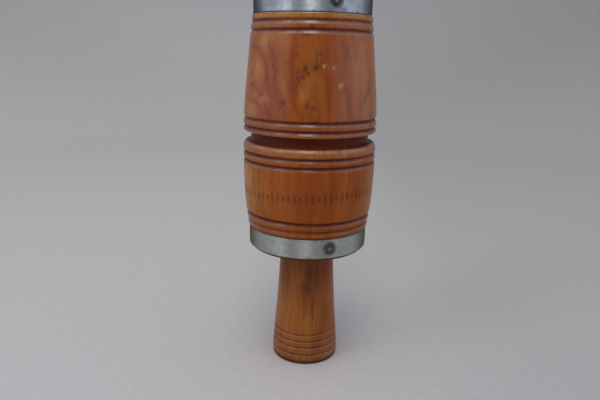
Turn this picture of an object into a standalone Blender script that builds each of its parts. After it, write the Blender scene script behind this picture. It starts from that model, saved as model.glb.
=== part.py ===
"""A turned wooden reed call, standing on the foot of its stopper.

The barrel is a keg of wood with a bore right through it, a deep groove for a lanyard and a pinned metal band
round each end. The stopper plugs into the barrel's lower end. Above its tenon it goes on as a half-round tone
board, and a half-round wedge block clamps the tail of a thin metal reed against that board.

Metres, +Z up the call's axis, origin at the centre of the foot, front of the call towards -Y.
"""

import math

import bmesh
import bpy
from mathutils import Matrix, Vector

MM = 0.001

# Heights of the main pieces above the foot
BARREL_LOW = 33.1 * MM
BARREL_TOP = 100.2 * MM
END_BAND_LOW = 33.85 * MM
MOUTH_BAND_LOW = 93.35 * MM
BAND_HEIGHT = 5.1 * MM
TENON_TOP = 46.0 * MM
BOARD_TIP = 77.0 * MM

# Outer radius of the barrel's wood at a few heights; a smooth curve joins them
KEG_STATIONS = (
    (39.0 * MM, 16.2 * MM),
    (45.4 * MM, 17.0 * MM),
    (51.0 * MM, 17.36 * MM),
    (58.5 * MM, 17.5 * MM),
    (67.6 * MM, 17.4 * MM),
    (74.8 * MM, 16.97 * MM),
    (82.3 * MM, 16.25 * MM),
    (93.4 * MM, 15.2 * MM),
)
KEG_STEPS = 14

# Turned ring grooves: narrow V cuts on the barrel and on the stopper's foot
RING_WIDTH = 1.0 * MM
RING_DEPTH = 0.38 * MM
KEG_RINGS = tuple(h * MM for h in (41.0, 43.1, 57.3, 59.4, 66.0, 68.1, 89.4, 91.6))
FOOT_RINGS = tuple(h * MM for h in (2.85, 4.9, 6.75, 8.65))

# Lanyard groove round the barrel's waist
CORD_HEIGHT = 63.0 * MM
CORD_WIDTH = 3.8 * MM
CORD_FLAT = 0.9 * MM
CORD_DEPTH = 2.05 * MM

# Bore and mouth of the barrel
BORE_RADIUS = 7.65 * MM
BORE_LOW_RADIUS = 7.85 * MM
BORE_TAPER_TOP = 47.0 * MM
MOUTH_RADIUS = 11.2 * MM
MOUTH_DEPTH = 5.5 * MM
RIM_WIDTH = 1.9 * MM
LIP_STEPS = 4

# Metal bands, in rebates that leave a hair of room all round
END_BAND_RADIUS = 15.95 * MM
MOUTH_BAND_RADIUS = 14.95 * MM
BAND_WALL = 0.5 * MM
BAND_EDGE = 0.15 * MM
FIT_GAP = 0.1 * MM

# Band pins: a domed head in a dished hole, and a shank in the wood
PIN_ANGLE = math.radians(21)
PIN_SHANK = 0.45 * MM
PIN_HOLE = 0.7 * MM
PIN_LENGTH = 3.8 * MM
PIN_HOLE_DEPTH = 4.2 * MM
PIN_HEAD = 1.1 * MM
DISH_RADIUS = 2.0 * MM
DISH_DEPTH = 0.3 * MM
DISH_RISE = 0.05 * MM

# Stopper: outer radius at a few heights from foot to tenon
FOOT_RADIUS = 9.15 * MM
FOOT_ROUND = 0.35 * MM
STEM_STATIONS = (
    (0.35 * MM, 9.12 * MM),
    (2.85 * MM, 9.18 * MM),
    (6.0 * MM, 8.98 * MM),
    (9.1 * MM, 8.77 * MM),
    (15.3 * MM, 8.22 * MM),
    (24.5 * MM, 7.66 * MM),
    (30.0 * MM, 7.42 * MM),
    (33.5 * MM, 7.6 * MM),
    (46.0 * MM, 7.42 * MM),
)
STEM_STEPS = 11

# Air way through the stopper, and the tone board above the tenon
EXHAUST_RADIUS = 4.2 * MM
CHANNEL_RADIUS = 2.3 * MM
EXHAUST_TAPER_TOP = 28.0 * MM
CHANNEL_TOP = 70.0 * MM
BOARD_RADIUS = 6.9 * MM
BOARD_TIP_ROUND = 7.0 * MM
BOARD_FACE = 0.4 * MM
RAMP_START = 54.0 * MM
RAMP_ANGLE = math.radians(2.2)

# Reed and wedge block
REED_WIDTH = 10.0 * MM
REED_THICKNESS = 0.3 * MM
REED_LOW = 46.4 * MM
REED_TIP = 75.0 * MM
REED_PIVOT = 50.0 * MM
WEDGE_RADIUS = 7.15 * MM
WEDGE_LOW = 46.2 * MM
WEDGE_TOP = 55.6 * MM
WEDGE_SLOPE = 2.4 * MM

BIG = 40.0 * MM
SMOOTH_ANGLE = math.radians(35)


def clear_scene():
    for obj in list(bpy.data.objects):
        bpy.data.objects.remove(obj)


def material(name, colour, roughness, metallic=0.0):
    made = bpy.data.materials.new(name)
    made.use_nodes = True
    shader = made.node_tree.nodes["Principled BSDF"]
    shader.inputs["Base Color"].default_value = (*colour, 1.0)
    shader.inputs["Roughness"].default_value = roughness
    shader.inputs["Metallic"].default_value = metallic
    return made


# Outlines. Each is a list of (radius, height) points.


def radius_at(stations, height):
    """Radius of the smooth curve through the stations: a Catmull-Rom curve over height."""
    heights = [h for h, _ in stations]
    radii = [r for _, r in stations]
    last = len(stations) - 1
    height = min(max(height, heights[0]), heights[-1])
    i = max(k for k in range(last) if heights[k] <= height)

    def slope(k):
        a, b = max(k - 1, 0), min(k + 1, last)
        return (radii[b] - radii[a]) / (heights[b] - heights[a])

    span = heights[i + 1] - heights[i]
    t = (height - heights[i]) / span
    return (
        radii[i] * (1 + 2 * t) * (1 - t) ** 2
        + slope(i) * span * t * (1 - t) ** 2
        + radii[i + 1] * t * t * (3 - 2 * t)
        + slope(i + 1) * span * t * t * (t - 1)
    )


def ring_cut(height, centre):
    """Depth of a narrow V groove centred on a height."""
    return RING_DEPTH * max(0.0, 1.0 - abs(height - centre) / (RING_WIDTH / 2))


def cord_cut(height):
    """Depth of the lanyard groove: a flat bottom, and flanks that ease into rounded lips."""
    reach = (abs(height - CORD_HEIGHT) - CORD_FLAT / 2) / ((CORD_WIDTH - CORD_FLAT) / 2)
    t = min(max(reach, 0.0), 1.0)
    return CORD_DEPTH * (1.0 - t * t * (3.0 - 2.0 * t))


def even_heights(low, high, steps):
    return [low + (high - low) * k / steps for k in range(steps + 1)]


def ring_heights(centre):
    return [centre - RING_WIDTH / 2, centre, centre + RING_WIDTH / 2]


def clear_of(heights, centres, reach):
    return [h for h in heights if all(abs(h - c) > reach for c in centres)]


def keg_outline():
    """Outside of the barrel's wood between its two bands, from low to high."""
    low = END_BAND_LOW + BAND_HEIGHT + FIT_GAP
    high = MOUTH_BAND_LOW - FIT_GAP
    heights = clear_of(even_heights(low, high, KEG_STEPS), KEG_RINGS, RING_WIDTH * 0.8)
    heights = clear_of(heights, [CORD_HEIGHT], CORD_WIDTH * 0.6)
    for centre in KEG_RINGS:
        heights += ring_heights(centre)
    flank = (CORD_WIDTH - CORD_FLAT) / 2
    for side in (-1, 1):
        heights += [CORD_HEIGHT + side * (CORD_FLAT / 2 + flank * k / 4) for k in range(5)]
    points = []
    for height in sorted(heights):
        cut = cord_cut(height) + sum(ring_cut(height, centre) for centre in KEG_RINGS)
        points.append((radius_at(KEG_STATIONS, height) - cut, height))
    return points


def arc(centre, radii, start, end, steps):
    """Points on a quarter ellipse; angles in degrees from +radius towards +height."""
    turns = [math.radians(start + (end - start) * k / steps) for k in range(steps + 1)]
    return [
        (centre[0] + radii[0] * math.cos(t), centre[1] + radii[1] * math.sin(t)) for t in turns
    ]


def barrel_outline():
    end_wood = END_BAND_RADIUS - BAND_WALL - FIT_GAP
    mouth_wood = MOUTH_BAND_RADIUS - BAND_WALL - FIT_GAP
    keg = keg_outline()
    rim = MOUTH_RADIUS + RIM_WIDTH
    lip = (mouth_wood - rim, BARREL_TOP - MOUTH_BAND_LOW - BAND_HEIGHT)
    end_lip = (0.4 * MM, 0.5 * MM)
    points = [(BORE_LOW_RADIUS, BARREL_LOW)]
    points += arc((end_wood - end_lip[0], BARREL_LOW + end_lip[1]), end_lip, -90, 0, LIP_STEPS)
    points += [(end_wood, keg[0][1])]
    points += keg
    points += [(mouth_wood, keg[-1][1])]
    points += arc((rim, BARREL_TOP - lip[1]), lip, 0, 90, LIP_STEPS)
    dish = (MOUTH_RADIUS - BORE_RADIUS, MOUTH_DEPTH)
    points += arc((BORE_RADIUS, BARREL_TOP), dish, 0, -90, LIP_STEPS + 1)
    points += [(BORE_RADIUS, BORE_TAPER_TOP)]
    return points


def band_outline(radius, low):
    inner, high = radius - BAND_WALL, low + BAND_HEIGHT
    return [
        (inner, low),
        (radius - BAND_EDGE, low),
        (radius, low + BAND_EDGE),
        (radius, high - BAND_EDGE),
        (radius - BAND_EDGE, high),
        (inner, high),
    ]


def stopper_outline():
    low, high = STEM_STATIONS[0][0], STEM_STATIONS[-1][0]
    heights = clear_of(even_heights(low, high, STEM_STEPS), FOOT_RINGS, RING_WIDTH * 0.8)
    for centre in FOOT_RINGS:
        heights += ring_heights(centre)
    points = [(0.0, 0.0), (FOOT_RADIUS - FOOT_ROUND, 0.0)]
    for height in sorted(heights):
        cut = sum(ring_cut(height, centre) for centre in FOOT_RINGS)
        points.append((radius_at(STEM_STATIONS, height) - cut, height))
    points.append((BOARD_RADIUS, TENON_TOP))
    tip = (BOARD_RADIUS, BOARD_TIP_ROUND)
    points += arc((0.0, BOARD_TIP - BOARD_TIP_ROUND), tip, 0, 90, 2 * LIP_STEPS)
    points[-1] = (0.0, BOARD_TIP)
    return points


def airway_outline():
    """Cutter for the stopper's bore: flared at the foot, straight above, rounded where the channel ends."""
    points = [(0.0, -MM)]
    points += [(EXHAUST_RADIUS + MM * 0.08, -MM)]
    points += [(EXHAUST_RADIUS - MM * 0.2, 2.5 * MM)]
    points += [(CHANNEL_RADIUS, EXHAUST_TAPER_TOP)]
    points += arc((0.0, CHANNEL_TOP), (CHANNEL_RADIUS, CHANNEL_RADIUS), 0, 90, LIP_STEPS)
    points[-1] = (0.0, CHANNEL_TOP + CHANNEL_RADIUS)
    return points


def pin_outline():
    """A pin standing on its point: height 0 is the band's outer surface."""
    points = [(0.0, -PIN_LENGTH), (PIN_SHANK, -PIN_LENGTH + MM), (PIN_SHANK, -DISH_DEPTH)]
    points += [(PIN_HEAD, -0.08 * MM)]
    points += arc((0.0, 0.0), (PIN_HEAD, 0.25 * MM), 0, 90, LIP_STEPS)
    points[-1] = (0.0, 0.25 * MM)
    return points


def dish_outline():
    """Cutter for a pin's hole and the dish round its head."""
    return [
        (0.0, -PIN_HOLE_DEPTH),
        (PIN_HOLE, -PIN_HOLE_DEPTH),
        (PIN_HOLE, -DISH_DEPTH),
        (DISH_RADIUS, DISH_RISE),
        (DISH_RADIUS, MM),
        (0.0, MM),
    ]


# Solids


def finish_mesh(bm, name, paint):
    bmesh.ops.recalc_face_normals(bm, faces=bm.faces)
    mesh = bpy.data.meshes.new(name)
    bm.to_mesh(mesh)
    bm.free()
    mesh.shade_smooth()
    mesh.set_sharp_from_angle(angle=SMOOTH_ANGLE)
    obj = bpy.data.objects.new(name, mesh)
    bpy.context.scene.collection.objects.link(obj)
    if paint:
        mesh.materials.append(paint)
    return obj


def turned(name, outline, segments, paint=None):
    """Spins an outline round Z. One that ends on the axis makes a solid, any other is closed into a ring."""
    bm = bmesh.new()
    verts = [bm.verts.new((radius, 0.0, height)) for radius, height in outline]
    edges = [bm.edges.new(pair) for pair in zip(verts, verts[1:])]
    if outline[0][0] > 0.0:
        edges.append(bm.edges.new((verts[-1], verts[0])))
    bmesh.ops.spin(
        bm,
        geom=verts + edges,
        cent=(0, 0, 0),
        axis=(0, 0, 1),
        angle=2 * math.pi,
        steps=segments,
        use_merge=True,
    )
    bmesh.ops.remove_doubles(bm, verts=bm.verts, dist=1e-7)
    return finish_mesh(bm, name, paint)


def prism(name, corners, width, paint=None):
    """A solid with (y, z) corners, width along X and centred on it."""
    bm = bmesh.new()
    face = bm.faces.new([bm.verts.new((-width / 2, y, z)) for y, z in corners])
    moved = bmesh.ops.extrude_face_region(bm, geom=[face])["geom"]
    raised = [v for v in moved if isinstance(v, bmesh.types.BMVert)]
    bmesh.ops.translate(bm, verts=raised, vec=(width, 0, 0))
    return finish_mesh(bm, name, paint)


def as_cutter(obj):
    obj.hide_render = True
    obj.display_type = "WIRE"
    return obj


def cut(obj, cutter):
    boolean = obj.modifiers.new(cutter.name, "BOOLEAN")
    boolean.operation = "DIFFERENCE"
    boolean.solver = "EXACT"
    boolean.object = cutter


def hung_from(obj, empty):
    """Parents an object to an empty and keeps it where it is."""
    obj.parent = empty
    obj.matrix_parent_inverse = empty.matrix_world.inverted()


def joint_empty(name, height):
    empty = bpy.data.objects.new(name, None)
    bpy.context.scene.collection.objects.link(empty)
    empty.location = (0, 0, height)
    bpy.context.view_layer.update()
    return empty


def pin_place(radius, height, turn):
    """Matrix that puts a pin's +Z along the outward radius, turned by an angle from the front."""
    outward = Vector((math.sin(turn), -math.cos(turn), 0.0))
    return Matrix.Translation(outward * radius + Vector((0, 0, height))) @ (
        outward.to_track_quat("Z", "Y").to_matrix().to_4x4()
    )


# Pieces


def make_band(name, radius, low, barrel, paints, empty):
    """A band, its two pins, and the holes for them in the band and in the wood."""
    band = turned(name + "_band", band_outline(radius, low), 48, paints["band"])
    hung_from(band, empty)
    for side, turn in (("front", PIN_ANGLE), ("rear", PIN_ANGLE + math.pi)):
        place = pin_place(radius, low + BAND_HEIGHT / 2, turn)
        pin = turned(f"{name}_pin_{side}", pin_outline(), 12, paints["pin"])
        dish = as_cutter(turned(f"{name}_dish_{side}", dish_outline(), 16))
        pin.matrix_world = place
        dish.matrix_world = place
        hung_from(pin, empty)
        cut(band, dish)
        cut(barrel, dish)


def make_barrel(paints):
    empty = joint_empty("barrel_slide", BARREL_LOW)
    barrel = turned("barrel", barrel_outline(), 48, paints["barrel"])
    hung_from(barrel, empty)
    make_band("end", END_BAND_RADIUS, END_BAND_LOW, barrel, paints, empty)
    make_band("mouth", MOUTH_BAND_RADIUS, MOUTH_BAND_LOW, barrel, paints, empty)


def make_stopper(paints):
    stopper = turned("stopper", stopper_outline(), 40, paints["stopper"])
    cut(stopper, as_cutter(turned("airway", airway_outline(), 20)))
    top = BOARD_TIP + MM
    ramp_end = BOARD_FACE + (top - RAMP_START) * math.tan(RAMP_ANGLE)
    away = [
        (-BIG, TENON_TOP),
        (BOARD_FACE, TENON_TOP),
        (BOARD_FACE, RAMP_START),
        (ramp_end, top),
        (-BIG, top),
    ]
    cut(stopper, as_cutter(prism("board_face", away, BIG)))


def make_wedge(paints):
    outline = [(0.0, WEDGE_LOW), (WEDGE_RADIUS, WEDGE_LOW)]
    outline += [(WEDGE_RADIUS, WEDGE_TOP - WEDGE_SLOPE), (WEDGE_RADIUS - WEDGE_SLOPE, WEDGE_TOP)]
    outline += [(0.0, WEDGE_TOP)]
    wedge = turned("wedge_block", outline, 40, paints["wedge"])
    half = [
        (-BOARD_FACE, WEDGE_LOW - MM),
        (BIG, WEDGE_LOW - MM),
        (BIG, WEDGE_TOP + MM),
        (-BOARD_FACE, WEDGE_TOP + MM),
    ]
    cut(wedge, as_cutter(prism("wedge_face", half, BIG)))


def make_reed(paints):
    """A flat strip with a rounded tip; its origin is the middle of the clamped tail, where it bends from."""
    empty = joint_empty("reed_flex", REED_PIVOT)
    half, tip = REED_WIDTH / 2, REED_WIDTH / 3
    outline = [(-half, REED_LOW), (half, REED_LOW)]
    outline += arc((0.0, REED_TIP - tip), (half, tip), 0, 180, 12)
    bm = bmesh.new()
    back = REED_THICKNESS / 2
    face = bm.faces.new([bm.verts.new((x, back, z - REED_PIVOT)) for x, z in outline])
    moved = bmesh.ops.extrude_face_region(bm, geom=[face])["geom"]
    raised = [v for v in moved if isinstance(v, bmesh.types.BMVert)]
    bmesh.ops.translate(bm, verts=raised, vec=(0, -REED_THICKNESS, 0))
    reed = finish_mesh(bm, "reed", paints["reed"])
    reed.parent = empty


def main():
    clear_scene()
    paints = {
        "barrel": material("varnished_wood", (0.21, 0.06, 0.015), 0.3),
        "stopper": material("stopper_wood", (0.16, 0.05, 0.016), 0.35),
        "wedge": material("pale_wood", (0.45, 0.27, 0.13), 0.6),
        "band": material("plated_metal", (0.42, 0.42, 0.4), 0.35, 1.0),
        "pin": material("pin_metal", (0.3, 0.29, 0.26), 0.45, 1.0),
        "reed": material("reed_brass", (0.72, 0.5, 0.2), 0.3, 1.0),
    }
    make_barrel(paints)
    make_stopper(paints)
    make_wedge(paints)
    make_reed(paints)


main()
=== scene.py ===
"""Looks of a turned wooden reed call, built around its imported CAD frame. Metres, +Z up, front towards -Y."""

import math

import bmesh
import bpy
import numpy as np
from mathutils import Matrix, Vector


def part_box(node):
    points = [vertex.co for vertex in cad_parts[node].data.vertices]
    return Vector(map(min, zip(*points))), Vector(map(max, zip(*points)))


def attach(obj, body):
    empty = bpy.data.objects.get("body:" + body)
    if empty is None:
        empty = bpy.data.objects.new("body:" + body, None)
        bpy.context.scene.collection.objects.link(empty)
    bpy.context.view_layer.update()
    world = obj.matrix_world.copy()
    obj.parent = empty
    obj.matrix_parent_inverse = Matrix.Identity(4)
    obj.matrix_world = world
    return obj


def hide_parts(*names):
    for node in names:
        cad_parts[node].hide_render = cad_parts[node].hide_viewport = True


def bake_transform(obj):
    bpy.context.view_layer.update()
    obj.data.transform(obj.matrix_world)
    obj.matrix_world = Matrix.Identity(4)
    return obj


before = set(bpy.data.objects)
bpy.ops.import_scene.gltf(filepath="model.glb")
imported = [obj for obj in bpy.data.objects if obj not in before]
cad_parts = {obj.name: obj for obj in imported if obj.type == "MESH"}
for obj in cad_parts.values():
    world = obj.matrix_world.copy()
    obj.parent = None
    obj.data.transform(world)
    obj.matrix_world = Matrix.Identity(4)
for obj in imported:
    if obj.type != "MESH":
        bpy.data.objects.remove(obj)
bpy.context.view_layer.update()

MM = 0.001
TURN = 2 * math.pi

# All sizes below are in mm unless they say otherwise

# Profile of the barrel's wood between its bands, as turned: (height, outer radius)
KEG_STATIONS = np.array(
    [
        *((39.0, 16.2), (45.4, 17.0), (51.0, 17.36), (58.5, 17.5)),
        *((67.6, 17.4), (74.8, 16.97), (82.3, 16.25), (93.4, 15.2)),
    ]
)
# Profile of the stopper's stem, from its foot to the top of its tenon
STEM_STATIONS = np.array(
    [
        *((0.0, 9.13), (2.85, 9.18), (6.0, 8.98), (9.1, 8.77), (15.3, 8.22)),
        *((24.5, 7.66), (30.0, 7.42), (33.5, 7.6), (46.0, 7.42)),
    ]
)

# Ring grooves: (height, depth as a share of the usual depth). A groove reaches further below its centre than
# above it
RING_REACH = (1.1, 0.45)
RING_DEPTH = 0.36
FOOT_RING_REACH = (0.62, 0.36)
FOOT_RING_DEPTH = 0.33
KEG_RINGS = (
    *((41.0, 0.65), (43.1, 1.25), (57.3, 1.0), (59.4, 1.05)),
    *((66.0, 1.0), (68.1, 1.0), (89.4, 1.0), (91.6, 0.9)),
)
FOOT_RINGS = ((2.85, 0.8), (4.9, 0.85), (6.75, 0.8), (8.65, 0.7))

# The lanyard groove: the heights where its two lips start to turn in, and how round they are
CORD_LIPS = (60.45, 65.0)
CORD_LIP_ROUND = (1.7, 0.55)
CORD_MIDDLE = sum(CORD_LIPS) / 2
CORD_DEPTH = 2.05

# Barrel: its ends, its dished mouth and its bore
REBATE = 0.6
BAND_GAP = 0.1
KEG_ROUND = 0.45
RIM_RADIUS = 13.1
MOUTH_RADIUS = 11.2
MOUTH_DEPTH = 5.5
BORE_RADIUS = 7.65
BORE_LOW_RADIUS = 7.85
BORE_HEIGHTS = (90.0, 82.0, 74.0, 66.0, 58.0, 47.0)
BORE_TAPER = (7.75, 40.0)
BELLY_RADIUS = 16.8  # usual radius of the upper wood, to turn degrees into mm round it

# Bands and the nails through them
BAND_WALL = 0.5
BAND_EDGE = 0.16
DISH_DEPTH = 0.32
DISH_REACH = (0.6, 1.95)
# How far the dirt and painted shade round each nail reach
DISH_DIRT_AND_SHADE_REACH = 2.3
SEAM_ANGLE = math.radians(62)
PIN_ANGLE = math.radians(21)
HEAD_RADIUS = 1.1
HEAD_DOME = 0.28
SHANK_RADIUS = 0.45

# Stopper, above its stem: the tone board, the air way, and the slope under the reed's blade
TENON_TOP = 46.0
BOARD_RADIUS = 6.9
BOARD_ROUND = 7.0
BOARD_TIP = 77.0
BOARD_FACE = 0.4
RAMP_START = 54.0
RAMP_SLOPE = math.tan(math.radians(2.2))
EXHAUST_RADIUS = 5.0
AIRWAY = ((4.1, 2.5), (3.55, 8.0), (2.95, 16.0), (2.4, 26.0), (2.3, 30.0), (2.3, 50.0))
AIRWAY_TOP = 70.0
FOOT_ROUND = 0.45
WEDGE_RADIUS = 7.15
WEDGE_ROUND = 2.4

# The swirl in the grain on the left of the upper wood: its centre, and how far off it starts and is full
SWIRL_CENTRE = (-13.0, -11.0, 79.0)
SWIRL_REACH = (27.0, 7.0)


# Numbers


def smooth(value, low, high):
    """0 below low, 1 above high, and an easy curve between."""
    t = np.clip((value - low) / (high - low), 0.0, 1.0)
    return t * t * (3.0 - 2.0 * t)


def ripple(turn, height, seed, waves, most_turns, length):
    """Smooth random waves, about -1 to 1, that close on themselves round the axis. Heights in mm."""
    rng = np.random.default_rng(seed)
    total = 0.0
    for _ in range(waves):
        round_axis = rng.integers(0, most_turns + 1)
        along = rng.normal() * TURN / length
        total = total + np.cos(round_axis * turn + along * height + rng.uniform(0, TURN))
    return total / math.sqrt(waves)


def curve_at(stations, height):
    """Radius of the smooth curve through the stations, at an array of heights."""
    z, r = stations[:, 0], stations[:, 1]
    slope = np.gradient(r, z)
    height = np.clip(height, z[0], z[-1])
    i = np.clip(np.searchsorted(z, height, side="right") - 1, 0, len(z) - 2)
    gap = z[i + 1] - z[i]
    t = (height - z[i]) / gap
    return (
        r[i] * (1 + 2 * t) * (1 - t) ** 2
        + slope[i] * gap * t * (1 - t) ** 2
        + r[i + 1] * t * t * (3 - 2 * t)
        + slope[i + 1] * gap * t * t * (t - 1)
    )


def dense_heights(low, high, coarse, zones, fine):
    """Heights from low to high, closer together inside the zones, which are (centre, half width)."""
    heights = list(np.linspace(low, high, max(2, round((high - low) / coarse) + 1)))
    for centre, half in zones:
        inside = [h for h in heights if abs(h - centre) < half + fine * 0.4]
        heights = [h for h in heights if h not in inside or h in (low, high)]
        heights += list(np.linspace(centre - half, centre + half, round(2 * half / fine) + 1))
    return np.array(sorted(h for h in heights if low <= h <= high))


def arc(centre, radii, start, end, steps):
    """(radius, height) points on a quarter ellipse; angles in degrees from +radius towards +height."""
    turn = np.radians(np.linspace(start, end, steps + 1))
    return np.stack([centre[0] + radii[0] * np.cos(turn), centre[1] + radii[1] * np.sin(turn)], 1)


# Surface marks. A mark is (degrees right of the front, height, length, width, tilt, depth, darkness), and its
# length is along the axis when its tilt, in degrees, is 0.


def mark_cover(turn, height, radius, mark, sharp=2.0):
    """How much of a mark covers each point, 0 to 1."""
    degrees, centre, length, width, tilt = mark[:5]
    away = (turn - (math.radians(degrees) - TURN / 4) + math.pi) % TURN - math.pi
    across, along = away * radius, height - centre
    c, s = math.cos(math.radians(tilt)), math.sin(math.radians(tilt))
    u = (c * along + s * across) / (length / 2)
    v = (c * across - s * along) / (width / 2)
    return np.exp(-np.power(u * u + v * v, sharp / 2) * 1.2)


def add_marks(turn, height, radius, marks, sharp=2.0):
    """(depth, darkness) of a list of marks at each point."""
    depth, dark = 0.0, 0.0
    for mark in marks:
        cover = mark_cover(turn, height, radius, mark, sharp)
        depth = depth + cover * mark[5]
        dark = np.maximum(dark, cover * mark[6])
    return depth, dark


def scattered_marks(seed, count, low, high, size, depth):
    """Small random knocks between two heights."""
    rng = np.random.default_rng(seed)
    marks = []
    for _ in range(count):
        length = size * rng.uniform(0.5, 1.8)
        tilt = rng.uniform(-80, 80)
        deep = depth * rng.uniform(0.3, 1.0)
        place = (rng.uniform(-180, 180), rng.uniform(low, high))
        marks.append((*place, length, length * rng.uniform(0.3, 0.7), tilt, deep, rng.uniform(0, 0.5)))
    return marks


def ring_shape(turn, height, rings, reach, deepest, seed):
    """(depth, dirt, sheen) of a set of ring grooves, which wander a little. Each is steep and dirty above,
    with painted shade there too, and eases out below, where varnish has pooled and shines."""
    depth, dirt, sheen = 0.0, 0.0, 0.0
    for k, (centre, share) in enumerate(rings):
        drift = 0.03 * ripple(turn, 0.0, seed + k, 4, 3, 40.0)
        away = height - centre - drift
        off = np.where(away < 0, away / reach[0], away / reach[1])
        strength = share * (1 + 0.12 * ripple(turn, 0.0, seed + 20 + k, 5, 6, 40.0))
        depth = depth + deepest * strength * smooth(1.0 - np.abs(off), 0.0, 1.0)
        # Dirt and painted shade across the groove, darkest at its bottom
        dirt = dirt + strength * np.exp(-((away / reach[0] + 0.08) / 0.4) ** 2)
        sheen = sheen + np.exp(-((away / reach[0] + 0.56) / 0.28) ** 2)
    return depth, dirt, sheen


def cord_depth(height):
    """Depth of the lanyard groove: a round lip on either side, then a steep flank down to the flat bottom."""
    deepest = 0.0
    for inward, start, size in zip((1, -1), CORD_LIPS, CORD_LIP_ROUND):
        reach = np.clip((height - start) * inward, 0.0, None)
        turned = size - np.sqrt(size**2 - np.minimum(reach, size * 0.98) ** 2)
        side = turned + (CORD_DEPTH - size * 0.8) * smooth(reach, size * 0.7, size * 0.9 + 0.45)
        deepest = side if inward == 1 else np.minimum(deepest, side)
    return np.minimum(deepest, CORD_DEPTH)


def rounded_end(height, low, high, radius):
    """How far a surface falls away at its two ends, as a round-over of the given radius."""
    near = np.clip(np.minimum(height - low, high - height), 0.0, radius)
    return radius - np.sqrt(radius**2 - (radius - near) ** 2)


# Meshes


def link(name, mesh):
    obj = bpy.data.objects.new(name, mesh)
    bpy.context.scene.collection.objects.link(obj)
    return obj


def drawn(points, faces):
    bm = bmesh.new()
    verts = [bm.verts.new(point) for point in points]
    for face in faces:
        bm.faces.new([verts[i] for i in face])
    return bm


def closed_object(name, bm):
    """Turns the faces outwards and makes an object of them."""
    bmesh.ops.recalc_face_normals(bm, faces=bm.faces)
    mesh = bpy.data.meshes.new(name)
    bm.to_mesh(mesh)
    bm.free()
    return link(name, mesh)


def turned(outline, segments, closed):
    """(points, faces) of (radius, height) points spun round Z, as a closed ring or as an open sheet."""
    rows = len(outline)
    turn = np.arange(segments) * TURN / segments
    r, z = np.asarray(outline).T[:, :, None]
    points = np.stack([r * np.cos(turn), r * np.sin(turn), np.broadcast_to(z, (rows, segments))], -1)
    faces = []
    for j in range(rows if closed else rows - 1):
        k = (j + 1) % rows
        for i in range(segments):
            n = (i + 1) % segments
            faces.append((j * segments + i, j * segments + n, k * segments + n, k * segments + i))
    return points.reshape(-1, 3), faces


def spun(name, outline, segments, solid=False):
    """A turned piece from its outline in mm: a closed ring, or a solid body with both ends on the axis."""
    if solid:
        outline[[0, -1], 0] = 0.0
    bm = drawn(*turned(outline * MM, segments, not solid))
    bmesh.ops.remove_doubles(bm, verts=bm.verts, dist=1e-7)
    bmesh.ops.dissolve_degenerate(bm, edges=bm.edges, dist=1e-8)
    return closed_object(name, bm)


def coordinates(mesh):
    co = np.empty(len(mesh.vertices) * 3, np.float32)
    mesh.vertices.foreach_get("co", co)
    return co.reshape(-1, 3).astype(float)


def cylinder_places(mesh):
    """(turn, height, radius) of each vertex; height and radius in mm."""
    co = coordinates(mesh) / MM
    return np.arctan2(co[:, 1], co[:, 0]), co[:, 2], np.hypot(co[:, 0], co[:, 1])


def press_in(mesh, depth):
    """Moves each vertex towards the Z axis by its depth in mm."""
    co = coordinates(mesh)
    r = np.hypot(co[:, 0], co[:, 1])
    share = 1.0 - np.where(r > 0, depth * MM / np.maximum(r, 1e-9), 0.0)
    co[:, 0] *= share
    co[:, 1] *= share
    mesh.vertices.foreach_set("co", co.astype(np.float32).ravel())
    mesh.update()


def paint(mesh, **layers):
    """Stores layers of numbers from 0 to 1 on the mesh's vertices, for its material. A layer may be one
    number, and one that is left out reads as 0."""
    for name, values in layers.items():
        filled = np.broadcast_to(np.clip(values, 0, 1), len(mesh.vertices))
        attribute = mesh.attributes.new(name, "FLOAT", "POINT")
        attribute.data.foreach_set("value", filled.astype(np.float32))


def span(node):
    """Lowest and highest point of a CAD node."""
    return [corner.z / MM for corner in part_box(node)]


def outer_radius(node):
    """Radius of a CAD node that is round about the axis."""
    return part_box(node)[1].x / MM


def shade(obj, material, angle=40):
    obj.data.materials.append(material)
    obj.data.shade_smooth()
    obj.data.set_sharp_from_angle(angle=math.radians(angle))


def carved(obj, *cutters):
    """Cuts closed meshes out of an object for good, and removes the cutters. The cut makes its faces in any
    order, so they are sorted to be the same on each run."""
    for cutter in cutters:
        boolean = obj.modifiers.new("cut", "BOOLEAN")
        boolean.operation = "DIFFERENCE"
        boolean.solver = "EXACT"
        boolean.object = cutter
    bpy.context.view_layer.update()
    graph = bpy.context.evaluated_depsgraph_get()
    mesh = bpy.data.meshes.new_from_object(obj.evaluated_get(graph), depsgraph=graph)
    points = coordinates(mesh).tolist()
    faces = [list(face.vertices) for face in mesh.polygons]
    firsts = [face.index(min(face)) for face in faces]
    mesh.clear_geometry()
    mesh.from_pydata(points, [], sorted(face[k:] + face[:k] for face, k in zip(faces, firsts)))
    obj.modifiers.clear()
    obj.data = mesh
    for cutter in cutters:
        bpy.data.objects.remove(cutter)


def prism(corners, width):
    """A closed solid with (y, z) corners in mm, centred on X = 0."""
    bm = bmesh.new()
    face = bm.faces.new([bm.verts.new((-width / 2 * MM, y * MM, z * MM)) for y, z in corners])
    moved = bmesh.ops.extrude_face_region(bm, geom=[face])["geom"]
    raised = [v for v in moved if isinstance(v, bmesh.types.BMVert)]
    bmesh.ops.translate(bm, verts=raised, vec=(width * MM, 0, 0))
    return closed_object("cutter", bm)


# Materials


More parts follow.
